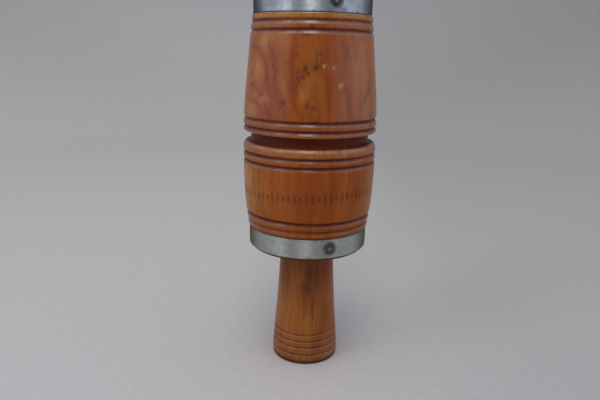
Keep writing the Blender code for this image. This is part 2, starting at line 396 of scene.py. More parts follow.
class Nodes:
    """Short calls that add nodes to a tree."""

    def __init__(self, owner):
        owner.use_nodes = True
        self.nodes = owner.node_tree.nodes
        self.links = owner.node_tree.links

    def put(self, socket, value):
        if isinstance(value, bpy.types.NodeSocket):
            self.links.new(value, socket)
        else:
            socket.default_value = value

    def node(self, kind, values, **settings):
        made = self.nodes.new("ShaderNode" + kind)
        for key, value in settings.items():
            setattr(made, key, value)
        for key, value in values.items():
            self.put(made.inputs[key], value)
        return made

    def math(self, operation, a, b=0.0):
        return self.node("Math", {0: a, 1: b}, operation=operation).outputs[0]

    def vector(self, operation, a, b=(0, 0, 0)):
        made = self.node("VectorMath", {0: a, 1: b}, operation=operation)
        return made.outputs["Value" if operation == "LENGTH" else "Vector"]

    def noise(self, vector, detail=3.0, roughness=0.5, colour=False):
        values = {"Vector": vector, "Scale": 1.0, "Detail": detail, "Roughness": roughness}
        made = self.node("TexNoise", values)
        return made.outputs["Color" if colour else "Fac"]

    def stretched(self, vector, x, y, z):
        return self.vector("MULTIPLY", vector, (x, y, z))

    def fade(self, value, low, high, start=0.0, end=1.0):
        """start where the value is low, end where it is high, and an easy curve between."""
        made = self.node(
            "MapRange",
            {"Value": value, "From Min": low, "From Max": high, "To Min": start, "To Max": end},
            interpolation_type="SMOOTHSTEP",
        )
        return made.outputs["Result"]

    def clouds(self, vector, scale, detail, roughness, low, high, start=0.0, end=1.0):
        """Soft patches: noise at a scale for each axis, faded between two of its levels."""
        noise = self.noise(self.stretched(vector, *scale), detail, roughness)
        return self.fade(noise, low, high, start, end)

    def mix(self, share, a, b, blend="MIX"):
        made = self.nodes.new("ShaderNodeMix")
        made.data_type = "RGBA"
        made.blend_type = blend
        self.put(made.inputs["Factor"], share)
        for key, value in (("A", a), ("B", b)):
            socket = [s for s in made.inputs if s.name == key and s.type == "RGBA"][0]
            self.put(socket, value if isinstance(value, bpy.types.NodeSocket) else (*value, 1.0))
        return [s for s in made.outputs if s.type == "RGBA"][0]

    def value(self, name):
        """A number stored on the mesh's vertices."""
        return self.node("Attribute", {}, attribute_name=name).outputs["Fac"]


class Shader(Nodes):
    """A material. Positions are in mm."""

    def __init__(self, name):
        self.material = bpy.data.materials.new(name)
        super().__init__(self.material)
        self.surface = self.nodes["Principled BSDF"]
        place = self.node("TexCoord", {}).outputs["Object"]
        self.place = self.vector("MULTIPLY", place, (1000, 1000, 1000))

    def bump(self, height, strength, distance):
        made = self.node("Bump", {"Height": height, "Strength": strength, "Distance": distance})
        return made.outputs["Normal"]

    def finish(self, **values):
        for key, value in values.items():
            name = key.replace("_", " ").title().replace("Ior", "IOR")
            if isinstance(value, tuple) and len(value) == 3:
                value = (*value, 1.0)
            self.put(self.surface.inputs[name], value)
        return self.material


# Colours of dirt that also paint shade: in grooves and hollows, under the barrel, along the foot and round the
# nails
GRIME_AND_SHADE_ON_WOOD = (0.11, 0.021, 0.008)
SOOT_AND_SHADE = (0.04, 0.015, 0.01)
GRIME_AND_SHADE_ON_METAL = (0.075, 0.06, 0.035)
BRIGHT_METAL = (0.83, 0.83, 0.8)


def grain_flow(s, place, lean):
    """(sway, flow): how far the grain wanders, and the place it carries along, which lean slants at the
    swirl."""
    near = s.fade(s.vector("LENGTH", s.vector("SUBTRACT", s.place, SWIRL_CENTRE)), *SWIRL_REACH)
    z = s.node("SeparateXYZ", {"Vector": s.place}).outputs["Z"]
    shear = s.math("MULTIPLY", s.math("MULTIPLY", near, lean), s.math("SUBTRACT", z, SWIRL_CENTRE[2]))
    wander = s.noise(s.stretched(place, 0.07, 0.07, 0.03), 2, colour=True)
    sway = s.stretched(s.vector("SUBTRACT", wander, (0.5, 0.5, 0.5)), 9.0, 9.0, 0.0)
    flow = s.vector("ADD", place, sway)
    return sway, s.vector("ADD", flow, s.node("CombineXYZ", {"X": shear}).outputs[0])


def late_wood(s, place, sway, pith, spacing):
    """The dark side of faint growth rings round a pith line that stands beside the piece."""
    across = s.stretched(s.vector("ADD", s.place, sway), 1.0, 1.0, 0.0)
    rings = s.math("DIVIDE", s.vector("LENGTH", s.vector("SUBTRACT", across, (*pith, 0.0))), spacing)
    phase = s.math("FRACT", s.math("ADD", rings, s.noise(s.stretched(place, 0.25, 0.25, 0.02), 1)))
    return s.math("MULTIPLY", s.fade(phase, 0.15, 0.85), s.fade(phase, 1.0, 0.88))


def wood(name, light, deep, dark, pith, spacing, seed, gloss=0.3, lean=0.0, shine=(0.24, 0.24)):
    """Turned wood under old varnish: broad tones, soft streaks, growth rings, long fibres and pores. The mesh
    says where it is amber, red, grimy, sooty or worn, where painted shade and shadow darken it, where a
    painted highlight lightens it, and where varnish has pooled, whose coat tints the wood blue as a painted
    highlight.
    shine is its gloss on the lower wood and on the upper wood."""
    yellow = [light[0] * 1.25 + 0.03, light[1] * 2.1, light[2] * 2.2 + 0.01]
    vein = [deep[0] * 0.8, deep[1] * 0.62, deep[2] * 1.6]
    bare = [light[0] * 1.2 + 0.1, light[1] * 1.6 + 0.16, light[2] + 0.12]
    s = Shader(name)
    place = s.vector("ADD", s.place, (seed * 13.0, seed * 7.0, seed * 29.0))
    sway, flow = grain_flow(s, place, lean)
    late = late_wood(s, place, sway, pith, spacing)
    tone = s.clouds(flow, (0.17, 0.17, 0.028), 3, 0.5, 0.4, 0.62)
    streak = s.clouds(flow, (0.62, 0.62, 0.055), 3, 0.55, 0.5, 0.68)
    fibre = s.clouds(flow, (2.1, 2.1, 0.04), 4, 0.6, 0.42, 0.64)
    hair = s.clouds(flow, (6.0, 6.0, 0.11), 2, 0.5, 0.5, 0.68)
    pores = s.clouds(flow, (8.0, 8.0, 0.6), 2, 0.5, 0.64, 0.72)
    patchy = s.clouds(place, (2.6, 2.6, 2.0), 4, 0.65, 0.25, 0.7, 0.7, 1.2)
    rubbed = s.clouds(place, (1.4, 1.4, 0.5), 4, 0.6, 0.36, 0.6)
    smudge = s.clouds(place, (0.22, 0.22, 0.2), 4, 0.6, 0.3, 0.7, gloss - 0.05, gloss + 0.09)

    # Dirt, and painted shade in grooves, hollows and under the barrel
    grime = s.node("Math", {0: s.value("grime"), 1: patchy}, operation="MULTIPLY", use_clamp=True).outputs[0]
    worn = s.math("MULTIPLY", s.value("worn"), rubbed)
    colour = s.mix(tone, light, deep)
    colour = s.mix(s.value("amber"), colour, yellow)
    colour = s.mix(s.math("MULTIPLY", s.value("red"), 0.7), colour, vein)
    for cover, strength in ((late, 0.09), (streak, 0.24), (fibre, 0.2), (hair, 0.16)):
        colour = s.mix(s.math("MULTIPLY", cover, strength), colour, dark)
    colour = s.mix(s.math("MULTIPLY", pores, 0.3), colour, [c * 0.35 for c in dark])
    # Paler where worn, and where a painted highlight lies on the lanyard groove's lips
    colour = s.mix(s.math("MULTIPLY", worn, 0.7), colour, bare)
    colour = s.mix(grime, colour, GRIME_AND_SHADE_ON_WOOD)
    # Dark marks, and the painted contact shadow along the bottom of the foot
    colour = s.mix(s.math("MULTIPLY", s.value("soot"), patchy), colour, SOOT_AND_SHADE)

    roughness = s.math("ADD", smudge, s.math("MULTIPLY", worn, 0.12))
    roughness = s.math("ADD", roughness, s.math("MULTIPLY", grime, 0.12))
    grain = s.math("ADD", s.math("MULTIPLY", fibre, -0.35), s.math("MULTIPLY", pores, -1.0))
    uneven = s.noise(s.stretched(place, 0.8, 0.8, 0.6), 3)
    grain = s.math("ADD", grain, s.math("MULTIPLY", uneven, 1.5))
    clean = s.fade(grime, 0.2, 0.75, 1.0, 0.25)
    z = s.node("SeparateXYZ", {"Vector": s.place}).outputs["Z"]
    return s.finish(
        base_color=colour,
        roughness=roughness,
        specular_ior_level=s.math("MULTIPLY", clean, s.fade(z, 54.0, 74.0, *shine)),
        coat_weight=s.math("MULTIPLY", s.value("varnish"), 0.7),
        coat_roughness=0.2,
        # The coat's blue tint where varnish lies is a painted highlight: it turns the wood under the
        # highlights lilac
        coat_tint=(0.55, 0.72, 1.0),
        normal=s.bump(grain, 0.2, 0.0001),
    )


def plated_metal(name, colour, stain, edge, roughness, seed):
    """Dull rolled metal: fine lines round the axis, cloudy tarnish and small stains. Grime, painted shade and
    painted darker reflections, and wear with painted highlights on the nail heads, come from the mesh."""
    s = Shader(name)
    place = s.vector("ADD", s.place, (seed * 17.0, seed * 5.0, 0.0))
    lines = s.noise(s.stretched(place, 0.35, 0.35, 9.0), 4, 0.7)
    cloud = s.clouds(place, (0.22, 0.22, 0.3), 4, 0.6, 0.3, 0.72)
    haze = s.clouds(place, (1.1, 1.1, 0.9), 4, 0.6, 0.35, 0.7)
    spots = s.node("TexVoronoi", {"Vector": s.stretched(place, 0.42, 0.42, 0.55), "Scale": 1.0})
    specks = s.fade(spots.outputs["Distance"], 0.2, 0.06)
    specks = s.math("MULTIPLY", specks, s.clouds(place, (0.5, 0.5, 0.5), 2, 0.5, 0.5, 0.58))
    patchy = s.clouds(place, (1.0, 1.0, 1.0), 4, 0.6, 0.2, 0.7, 0.6, 1.1)
    grime = s.math("MULTIPLY", s.value("grime"), patchy)

    base = s.mix(s.math("MULTIPLY", cloud, 0.55), colour, [c * 0.74 for c in colour])
    base = s.mix(s.math("MULTIPLY", haze, 0.25), base, stain)
    base = s.mix(s.math("MULTIPLY", specks, 0.6), base, stain)
    # Dirt, with painted shade round the nails and painted darker reflections beside the front nail
    base = s.mix(grime, base, GRIME_AND_SHADE_ON_METAL)
    # Bright where worn, and where a painted highlight lies in the middle of each nail head
    base = s.mix(s.math("MULTIPLY", s.value("worn"), 0.5), base, BRIGHT_METAL)

    rough = s.fade(cloud, 0.0, 1.0, roughness, roughness + 0.08)
    rough = s.math("ADD", rough, s.math("MULTIPLY", grime, 0.3))
    rough = s.math("ADD", rough, s.math("MULTIPLY", s.math("SUBTRACT", lines, 0.5), 0.16))
    uneven = s.noise(s.stretched(place, 0.5, 0.5, 0.5), 3)
    height = s.math("ADD", lines, s.math("MULTIPLY", uneven, 1.2))
    return s.finish(
        base_color=base,
        roughness=rough,
        metallic=s.fade(grime, 0.2, 0.9, 1.0, 0.35),
        specular_tint=edge,
        anisotropic=0.95,
        anisotropic_rotation=0.25,
        tangent=s.node("Tangent", {}, direction_type="RADIAL", axis="Z").outputs[0],
        normal=s.bump(height, 0.16, 0.00006),
    )


# Pieces


def finish_piece(obj, node, body):
    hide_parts(node)
    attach(obj, body)


ROW_HEIGHT = 49.6
ROW_BARS = 34
ROW_START = -106.0
ROW_STEP = 5.0


def punched_row():
    """A plain punched border of upright bars, every third one short, that grows darker to the right."""
    marks = []
    for k in range(ROW_BARS):
        degrees = ROW_START + k * ROW_STEP
        middle = ROW_HEIGHT + 0.5 * math.sin(math.radians(degrees))
        length = 1.5 if k % 3 == 2 else 3.1
        strength = 0.68 + 0.2 * k / (ROW_BARS - 1) + 0.1 * math.sin(k * 2.3)
        marks.append((degrees, middle, length, 0.72, 3.0 * math.sin(k * 1.7), 0.12, strength))
    return marks


BARREL_MARKS = (
    # A scuffed diagonal of small dark knocks on the front of the upper wood
    (-8.0, 79.0, 3.4, 3.0, 40, 0.01, 0.28),
    (0.5, 80.8, 2.8, 3.6, 20, 0.01, 0.25),
    (6.0, 82.6, 3.4, 2.0, -20, 0.01, 0.22),
    (-10.4, 79.9, 1.4, 0.95, 8, 0.05, 0.8),
    (-4.8, 80.5, 2.1, 1.3, 12, 0.07, 1.0),
    (-2.6, 79.5, 1.3, 1.0, 50, 0.06, 0.9),
    (-7.0, 78.6, 1.4, 0.9, 60, 0.05, 0.9),
    (-10.6, 78.3, 1.8, 0.7, -8, 0.05, 0.8),
    (-11.6, 76.7, 2.2, 0.6, -6, 0.03, 0.6),
    (-3.0, 77.2, 1.5, 0.5, 40, 0.03, 0.5),
    (4.0, 81.0, 1.6, 1.3, 60, 0.07, 1.0),
    (4.4, 82.3, 1.5, 0.7, -10, 0.05, 0.85),
    (8.2, 83.9, 1.8, 0.6, -25, 0.04, 0.8),
    (9.6, 82.6, 0.9, 0.5, 30, 0.03, 0.6),
    (-1.0, 80.9, 1.0, 0.5, 70, 0.03, 0.5),
    # Dark spots lower down
    (-3.0, 72.2, 1.3, 1.1, 0, 0.05, 0.95),
    (2.4, 71.7, 0.9, 1.4, 10, 0.04, 0.8),
    (-21.7, 72.7, 1.7, 1.5, 20, 0.05, 0.85),
    (-24.5, 71.6, 1.3, 0.8, 50, 0.03, 0.6),
    (15.2, 71.3, 0.7, 0.6, 0, 0.03, 0.5),
    # Dark dashes in the figure on the left, and two on the right
    (-32.6, 81.3, 1.5, 0.8, 18, 0.02, 0.65),
    (-29.8, 79.6, 1.8, 0.9, 18, 0.02, 0.65),
    (-38.8, 78.1, 1.6, 1.3, 10, 0.02, 0.65),
    (-61.4, 79.3, 1.2, 0.9, 0, 0.02, 0.5),
    (-57.0, 76.5, 1.6, 0.9, 55, 0.02, 0.6),
    (-43.8, 74.3, 2.0, 0.9, 40, 0.03, 0.6),
    (-39.8, 85.9, 1.0, 0.7, 0, 0.02, 0.5),
    (31.2, 84.7, 2.8, 0.9, 4, 0.03, 0.8),
    (56.3, 75.2, 2.6, 1.2, 38, 0.03, 0.7),
    (51.5, 73.6, 2.6, 1.0, 42, 0.03, 0.75),
    (47.0, 72.0, 2.0, 0.9, 30, 0.03, 0.6),
    # Nicks in the ring grooves
    (1.0, 89.8, 0.9, 1.5, 0, 0.06, 0.9),
    (-3.9, 88.3, 0.7, 1.3, 0, 0.05, 0.8),
    (4.3, 68.6, 0.7, 1.6, 0, 0.06, 0.8),
    (24.5, 61.3, 1.2, 0.6, 0, 0.05, 0.9),
    (57.8, 61.9, 0.9, 1.2, 0, 0.08, 1.0),
)
PALE_CHIPS = (
    (25.2, 77.3, 1.9, 0.9, 20, 0.07, 1.0),
    (10.8, 81.2, 0.9, 1.0, 0, 0.04, 0.9),
    (17.3, 81.0, 0.7, 1.4, 0, 0.04, 0.9),
    (6.5, 82.8, 1.1, 0.5, -30, 0.04, 0.7),
)
# Where the wood is paler and more yellow, and where it is redder
AMBER_PATCHES = (
    (-80.0, 78.0, 28.0, 12.0, 8, 0, 1.0),
    (-54.0, 80.6, 7.0, 6.0, -24, 0, 1.0),
    (-60.0, 71.0, 7.0, 8.0, -30, 0, 1.0),
    (-42.0, 73.4, 4.0, 4.0, -30, 0, 0.8),
    (-44.0, 87.0, 5.0, 9.0, -20, 0, 0.8),
    (-25.0, 87.0, 5.0, 5.0, 0, 0, 0.5),
    (-22.0, 78.0, 12.0, 3.0, -8, 0, 0.4),
    (-5.0, 75.2, 6.5, 2.6, 16, 0, 0.75),
    (2.0, 85.5, 8.0, 4.0, 0, 0, 0.3),
    (77.0, 79.0, 34.0, 8.0, 0, 0, 1.0),
    (46.0, 80.0, 26.0, 12.0, 0, 0, 0.6),
    (-62.0, 52.0, 16.0, 12.0, 0, 0, 0.9),
    (70.0, 50.0, 14.0, 7.0, 0, 0, 0.5),
    (128.0, 80.0, 14.0, 9.0, 10, 0, 0.8),
    (-150.0, 74.0, 18.0, 8.0, -10, 0, 0.7),
)
# Reddish veins in the wood: (width, the (degrees, height) points they run through)
RED_VEINS = (
    (1.3, ((-72.0, 85.6), (-58.0, 85.4), (-49.9, 84.7), (-44.0, 82.2), (-40.2, 79.7), (-38.8, 77.9))),
    (
        1.5,
        (
            *((-36.0, 84.6), (-32.9, 81.4), (-29.8, 79.4), (-30.7, 76.8)),
            *((-27.2, 73.9), (-22.0, 71.8), (-19.0, 69.6)),
        ),
    ),
    (1.1, ((-60.0, 76.8), (-56.0, 76.3), (-49.8, 75.6), (-43.3, 73.9))),
    (1.2, ((-64.0, 72.9), (-51.6, 72.3), (-44.4, 71.1), (-41.5, 69.2))),
    (1.3, ((-41.0, 72.6), (-36.0, 70.6), (-31.1, 68.9))),
    (2.4, ((-14.0, 87.0), (-16.0, 80.0), (-13.0, 74.0))),
    (2.6, ((13.0, 88.0), (15.0, 80.0), (16.0, 72.0))),
    (1.6, ((28.0, 87.0), (29.0, 78.0), (33.0, 71.0))),
    (2.0, ((106.0, 86.0), (108.0, 78.0), (112.0, 71.0))),
    (2.2, ((-121.0, 86.0), (-118.0, 80.0), (-113.0, 74.0))),
    (2.2, ((166.0, 84.0), (170.0, 76.0), (173.0, 70.0))),
)


def vein_cover(turn, height, radius, veins):
    """How much of a set of veins covers each point: a chain of soft streaks along each path."""
    cover = 0.0
    for width, path in veins:
        for (degrees_a, height_a), (degrees_b, height_b) in zip(path, path[1:]):
            across = math.radians(degrees_b - degrees_a) * BELLY_RADIUS
            along = height_b - height_a
            middle = ((degrees_a + degrees_b) / 2, (height_a + height_b) / 2)
            tilt = math.degrees(math.atan2(across, along))
            mark = (*middle, math.hypot(across, along) * 1.5, width, tilt)
            cover = np.maximum(cover, mark_cover(turn, height, radius, mark))
    return cover


def barrel_outline(keg, end_wood, mouth_wood):
    """The end face, the outside with a rebate for each band, the lip, the dished mouth and the bore."""
    low, high = span("barrel")
    mouth_high = span("mouth_band")[1]
    lip = (mouth_wood - RIM_RADIUS, high - mouth_high)
    edge = end_wood - KEG_ROUND
    dish = (MOUTH_RADIUS - BORE_RADIUS, MOUTH_DEPTH - 0.4)
    return np.concatenate(
        [
            [(BORE_LOW_RADIUS, low)],
            [(r, low) for r in np.linspace(BORE_LOW_RADIUS, edge, 8)[1:-1]],
            arc((edge, low + 0.5), (KEG_ROUND, 0.5), -90, 0, 6),
            [(end_wood, keg[0])],
            np.stack([curve_at(KEG_STATIONS, keg), keg], 1),
            [(mouth_wood, keg[-1])],
            [(mouth_wood, mouth_high - 0.2)],
            arc((RIM_RADIUS, high - lip[1]), lip, 0, 90, 14),
            arc((MOUTH_RADIUS + 0.3, high - 0.3), (0.3, 0.3), 90, 180, 4),
            arc((BORE_RADIUS, high - 0.4), dish, 0, -90, 22)[1:],
            [(BORE_RADIUS, h) for h in BORE_HEIGHTS],
            [BORE_TAPER],
        ]
    )


def barrel_wood():
    """Orange-brown wood under thick old varnish, glossier high up, with a swirl in its grain."""
    return wood(
        "barrel_varnished_wood",
        light=(0.37, 0.092, 0.0105),
        deep=(0.305, 0.06, 0.004),
        dark=(0.12, 0.015, 0.002),
        pith=(-62.0, 18.0),
        spacing=2.3,
        seed=3,
        gloss=0.24,
        lean=0.4,
        shine=(0.2, 0.42),
    )


def make_barrel():
    low, high = span("barrel")
    end_wood = outer_radius("end_band") - REBATE
    mouth_wood = outer_radius("mouth_band") - REBATE
    keg_low, keg_high = span("end_band")[1] + BAND_GAP, span("mouth_band")[0] - BAND_GAP
    zones = [(centre, 1.0) for centre, _ in KEG_RINGS]
    zones += [(CORD_MIDDLE, CORD_LIPS[1] - CORD_MIDDLE + 0.3), (ROW_HEIGHT, 2.0)]
    zones += [(keg_low + 0.25, 0.25), (keg_high - 0.25, 0.25)]
    keg = dense_heights(keg_low, keg_high, 0.45, zones, 0.13)
    obj = spun("barrel_wood", barrel_outline(keg, end_wood, mouth_wood), 288)

    turn, height, radius = cylinder_places(obj.data)
    surface = curve_at(KEG_STATIONS, height)
    outer = (np.abs(radius - surface) < 0.02) & (height > keg_low - 0.01) & (height < keg_high + 0.01)
    rings, ring_dirt_and_shade, sheen = ring_shape(turn, height, KEG_RINGS, RING_REACH, RING_DEPTH, 5)
    cord = cord_depth(height)
    knocks = list(BARREL_MARKS) + scattered_marks(11, 46, 44.0, 92.0, 1.1, 0.035)
    knocks += scattered_marks(12, 26, 56.0, 70.0, 0.8, 0.05)
    dents, dirt = add_marks(turn, height, surface, knocks, 1.5)
    chips, pale = add_marks(turn, height, surface, PALE_CHIPS)
    _, amber = add_marks(turn, height, surface, AMBER_PATCHES, 1.6)
    bars, bar_dirt = add_marks(turn, height, surface, punched_row(), 3.5)
    ends = rounded_end(height, keg_low, keg_high, KEG_ROUND) * 0.6
    uneven = 0.03 * (1 + ripple(turn, height, 3, 7, 3, 60.0) * 0.5)
    press_in(obj.data, np.where(outer, rings + cord + dents + chips + bars + ends + uneven, 0.0))

    below_middle = height < CORD_MIDDLE
    ring_edges = smooth(rings, 0.0, 0.03) * (1 - smooth(rings, 0.05, 0.1))
    # The lanyard groove's lips and the wood just under the lower lip: wear, with a painted highlight that
    # makes them paler
    under_lip = smooth(height, CORD_LIPS[0] - 0.9, CORD_LIPS[0] - 0.3) * below_middle
    lips = np.maximum(smooth(cord, 0.0, 0.1), under_lip * 0.4) * (1 - smooth(cord, 0.3, 0.8))
    lower_lip = smooth(cord, 0.005, 0.08) * (1 - smooth(cord, 0.7, 1.2)) * below_middle
    # Dirt and painted shade in the ring grooves, and painted shade with dirt deep in the lanyard groove
    groove_dirt_and_shade = ring_dirt_and_shade * 0.95 + smooth(cord, 0.35, 0.95) * 0.9
    band_line = np.exp(-(((height - keg_low) / 0.4) ** 2)) * 0.8
    top_edge = smooth(height, keg_high - 0.55, keg_high - 0.25)
    top_strip = smooth(height, 89.6, 92.4) * 0.75 * outer
    inside = (radius < MOUTH_RADIUS - 0.6) & (height > low + 0.05)
    grime = np.where(outer, np.maximum(groove_dirt_and_shade, band_line), 0.0)
    # Inside the mouth: dirt, and painted shade that darkens deeper in
    grime = np.where(inside, 0.35 + 0.35 * smooth(high - height, 2.0, 9.0), grime)
    # The end face underneath gets painted shade, darker round its outer edge
    grime = np.where(height < low + 0.6, 0.3 + 0.5 * (radius > end_wood - 0.5), grime)
    barrel_wear_and_highlight = np.maximum(pale * 2.2, ring_edges * 0.35 + lips * 0.4)
    paint(
        obj.data,
        grime=grime,
        soot=np.where(outer, np.maximum(dirt * 0.95, bar_dirt * 0.85), 0.0),
        worn=np.where(outer, barrel_wear_and_highlight, 0.25 * ~inside),
        # Amber on the lips is part of their painted highlight
        amber=np.maximum.reduce([amber, top_strip, lips * 0.6]),
        red=vein_cover(turn, height, surface, RED_VEINS),
        # Where the varnish lies its coat also tints the wood blue, as a painted highlight hue
        varnish=np.where(outer, np.maximum.reduce([sheen * 0.8, lower_lip * 0.7, top_edge]), 0.0),
    )
    shade(obj, barrel_wood(), 50)
    finish_piece(obj, "barrel", "barrel")


def make_band(name, seed, reflection_smears, material, pin_material):
    """A thin band pressed round the wood, drawn in round each of its two nails. Each dark smear, a painted
    darker reflection, is (distance right of the front nail, half width, strength)."""
    low, high = span(name + "_band")
    outer = outer_radius(name + "_band")
    inner, middle = outer - BAND_WALL, (low + high) / 2
    corner = (BAND_EDGE, BAND_EDGE)
    face = dense_heights(low + BAND_EDGE, high - BAND_EDGE, 0.12, [], 0.1)
    outline = np.concatenate(
        [
            [(inner, low + 0.02)],
            arc((outer - BAND_EDGE, low + BAND_EDGE), corner, -90, 0, 4)[:-1],
            [(outer, h) for h in face],
            arc((outer - BAND_EDGE, high - BAND_EDGE), corner, 0, 90, 4)[1:],
            [(inner, high - 0.02)],
            [(inner, middle)],
        ]
    )
    obj = spun(name + "_band_metal", outline, 420)

    turn, height, radius = cylinder_places(obj.data)
    shell = radius > inner + 0.1
    dish, dark = 0.0, 0.0
    for pin in (0.0, math.pi):
        away = (turn - (PIN_ANGLE + pin - TURN / 4) + math.pi) % TURN - math.pi
        reach = np.hypot(away * outer, height - middle)
        dish = dish + DISH_DEPTH * (1 - smooth(reach, *DISH_REACH))
        # Dirt and painted shade in the dish round each nail
        dark = np.maximum(dark, smooth(DISH_DIRT_AND_SHADE_REACH - reach, 0.0, 0.9))
    knocks = scattered_marks(seed, 22, low + 0.3, high - 0.3, 0.9, 0.03)
    knocks += [(-40, middle + 1, 0.3, 7.0, 12, 0.012, 0.0), (35, middle - 1.2, 0.3, 7.0, -6, 0.012, 0.0)]
    dents, _ = add_marks(turn, height, outer, knocks)
    wave = 0.022 * (1 + 0.6 * ripple(turn, height, seed + 1, 9, 7, 14.0))
    seam = 0.12 * np.exp(-(((turn - SEAM_ANGLE) * outer / 0.12) ** 2))
    press_in(obj.data, np.where(shell, dish + dents + wave + seam, 0.0))

    rim = np.exp(-np.minimum(height - low, high - height) / 0.14) * 0.4
    crust = np.exp(-(height - low) / 0.6) * smooth(ripple(turn, height, seed + 2, 14, 26, 5.0), 0.2, 1.2)
    beside = (turn - (PIN_ANGLE - TURN / 4)) * outer
    # Painted darker reflections on the band beside the front nail
    stain = sum(strength * np.exp(-(((beside - along) / half) ** 2)) for along, half, strength in reflection_smears)
    seam_dirt = smooth(seam, 0.03, 0.1)
    grime = np.maximum.reduce([dark * 0.85, rim, crust * 0.8, seam_dirt * 0.8, stain])
    scratched = smooth(dents, 0.012, 0.03) * 0.5
    paint(obj.data, grime=np.where(shell, grime, 0.6), worn=np.where(shell, scratched, 0.0))
    shade(obj, material, 50)
    finish_piece(obj, name + "_band", "barrel")
    for side, angle in (("front", PIN_ANGLE), ("rear", PIN_ANGLE + math.pi)):
        make_pin(f"{name}_pin_{side}", outer, middle, angle, pin_material, seed)


def make_pin(node, radius, height, angle, material, seed):
    """A short nail with a domed, slightly beaten head, drawn upright and then turned to point at the axis."""
    brim = HEAD_RADIUS - 0.08
    outline = np.concatenate(
        [
            [(0.0, -3.8), (0.12, -3.6)],
            [(SHANK_RADIUS, h) for h in (-2.8, -1.6, -0.34)],
            [(0.6, -0.3), (0.85, -0.24), (brim, -0.14)],
            arc((brim, -0.06), (0.08, 0.08), -90, 0, 3),
            arc((0.0, -0.06), (HEAD_RADIUS, HEAD_DOME), 4, 90, 12),
        ]
    )
    obj = spun(node + "_nail", outline, 40, solid=True)
    turn, tall, reach = cylinder_places(obj.data)
    head = tall > -0.1
    beaten = 0.03 * (1 + ripple(turn, reach * 3, seed + 7, 6, 3, 9.0)) * head
    co = coordinates(obj.data)
    co[:, 2] -= beaten * MM
    obj.data.vertices.foreach_set("co", co.astype(np.float32).ravel())
    outward = Vector((math.sin(angle), -math.cos(angle), 0.0))
    place = Matrix.Translation(outward * radius * MM + Vector((0, 0, height * MM)))
    obj.data.transform(place @ outward.to_track_quat("Z", "Y").to_matrix().to_4x4())
    # The head darkens towards its rim with dirt and painted shade, and a painted highlight brightens its
    # middle
    paint(
        obj.data,
        grime=np.where(head, smooth(reach, 0.35, 0.95) * 0.8, 0.9),
        worn=np.where(head, 0.45 - 0.45 * smooth(reach, 0.15, 0.6), 0.0),
    )
    shade(obj, material, 60)
    finish_piece(obj, node, "barrel")


STOPPER_MARKS = (
    # A dark, knotty smear near the top of the stem and a drying check below it
    (5.0, 25.8, 10.0, 2.4, 0, 0.02, 0.75),
    (4.5, 22.0, 4.6, 3.0, -14, 0.02, 0.75),
    (-4.0, 22.4, 4.0, 3.0, 20, 0.01, 0.5),
    (13.9, 15.4, 9.4, 0.42, 0, 0.14, 1.0),
    (13.0, 18.0, 6.0, 1.0, 0, 0.01, 0.4),
    (-16.0, 21.0, 4.5, 0.6, -8, 0.02, 0.5),
    (21.4, 26.0, 8.0, 0.8, 2, 0.02, 0.6),
    (40.0, 27.0, 7.0, 0.8, 0, 0.02, 0.55),
    (-12.0, 28.0, 6.0, 0.6, 0, 0.02, 0.5),
    (-30.0, 13.0, 8.0, 0.35, 2, 0.03, 0.45),
)
STOPPER_AMBER = (
    (-48.0, 15.0, 14.0, 9.0, 0, 0, 0.4),
    (10.0, 12.0, 12.0, 7.0, 0, 0, 0.28),
    (52.0, 20.0, 12.0, 4.0, 0, 0, 0.25),
    (150.0, 16.0, 18.0, 9.0, 0, 0, 0.8),
)


def stopper_outline():
    """The foot, the stem with its tenon, and the round bar that the tone board is cut from."""
    zones = [(centre, 0.8) for centre, _ in FOOT_RINGS]
    stem = dense_heights(FOOT_ROUND, 34.0, 0.4, zones, 0.12)
    stem = np.concatenate([stem, np.linspace(34.6, 45.7, 14)])
    foot = float(STEM_STATIONS[0, 1])
    return np.concatenate(
        [
            [(r, 0.0) for r in (0.0, 5.2, 6.4, 7.6)],
            arc((foot - FOOT_ROUND, FOOT_ROUND), (FOOT_ROUND, FOOT_ROUND), -90, 0, 6)[:-1],
            np.stack([curve_at(STEM_STATIONS, stem), stem], 1),
            [(7.25, TENON_TOP), (BOARD_RADIUS, TENON_TOP + 0.02)],
            [(BOARD_RADIUS, h) for h in np.linspace(47.0, 69.0, 23)],
            arc((0.0, BOARD_TIP - BOARD_ROUND), (BOARD_RADIUS, BOARD_ROUND), 0, 90, 16),
        ]
    )


def air_channel():
    """Cutter for the air way: flared at the foot, narrower above, and rounded where it ends."""
    top = AIRWAY[-1][0]
    outline = np.concatenate(
        [
            [(0.0, -1.0), (EXHAUST_RADIUS, -1.0)],
            arc((EXHAUST_RADIUS, 0.6), (0.75, 0.75), -116, -180, 5),
            AIRWAY,
            arc((0.0, AIRWAY_TOP), (top, top), 0, 90, 8),
        ]
    )
    return spun("cutter", outline, 96, solid=True)


def board_cutter():
    """Cutter for the front half above the tenon. The flat face that it leaves slopes back under the blade."""
    top = BOARD_TIP + 1
    back = BOARD_FACE + (top - RAMP_START) * RAMP_SLOPE
    face = [(BOARD_FACE, TENON_TOP), (BOARD_FACE, RAMP_START), (back, top)]
    return prism([(-40, TENON_TOP), *face, (-40, top)], 40.0)


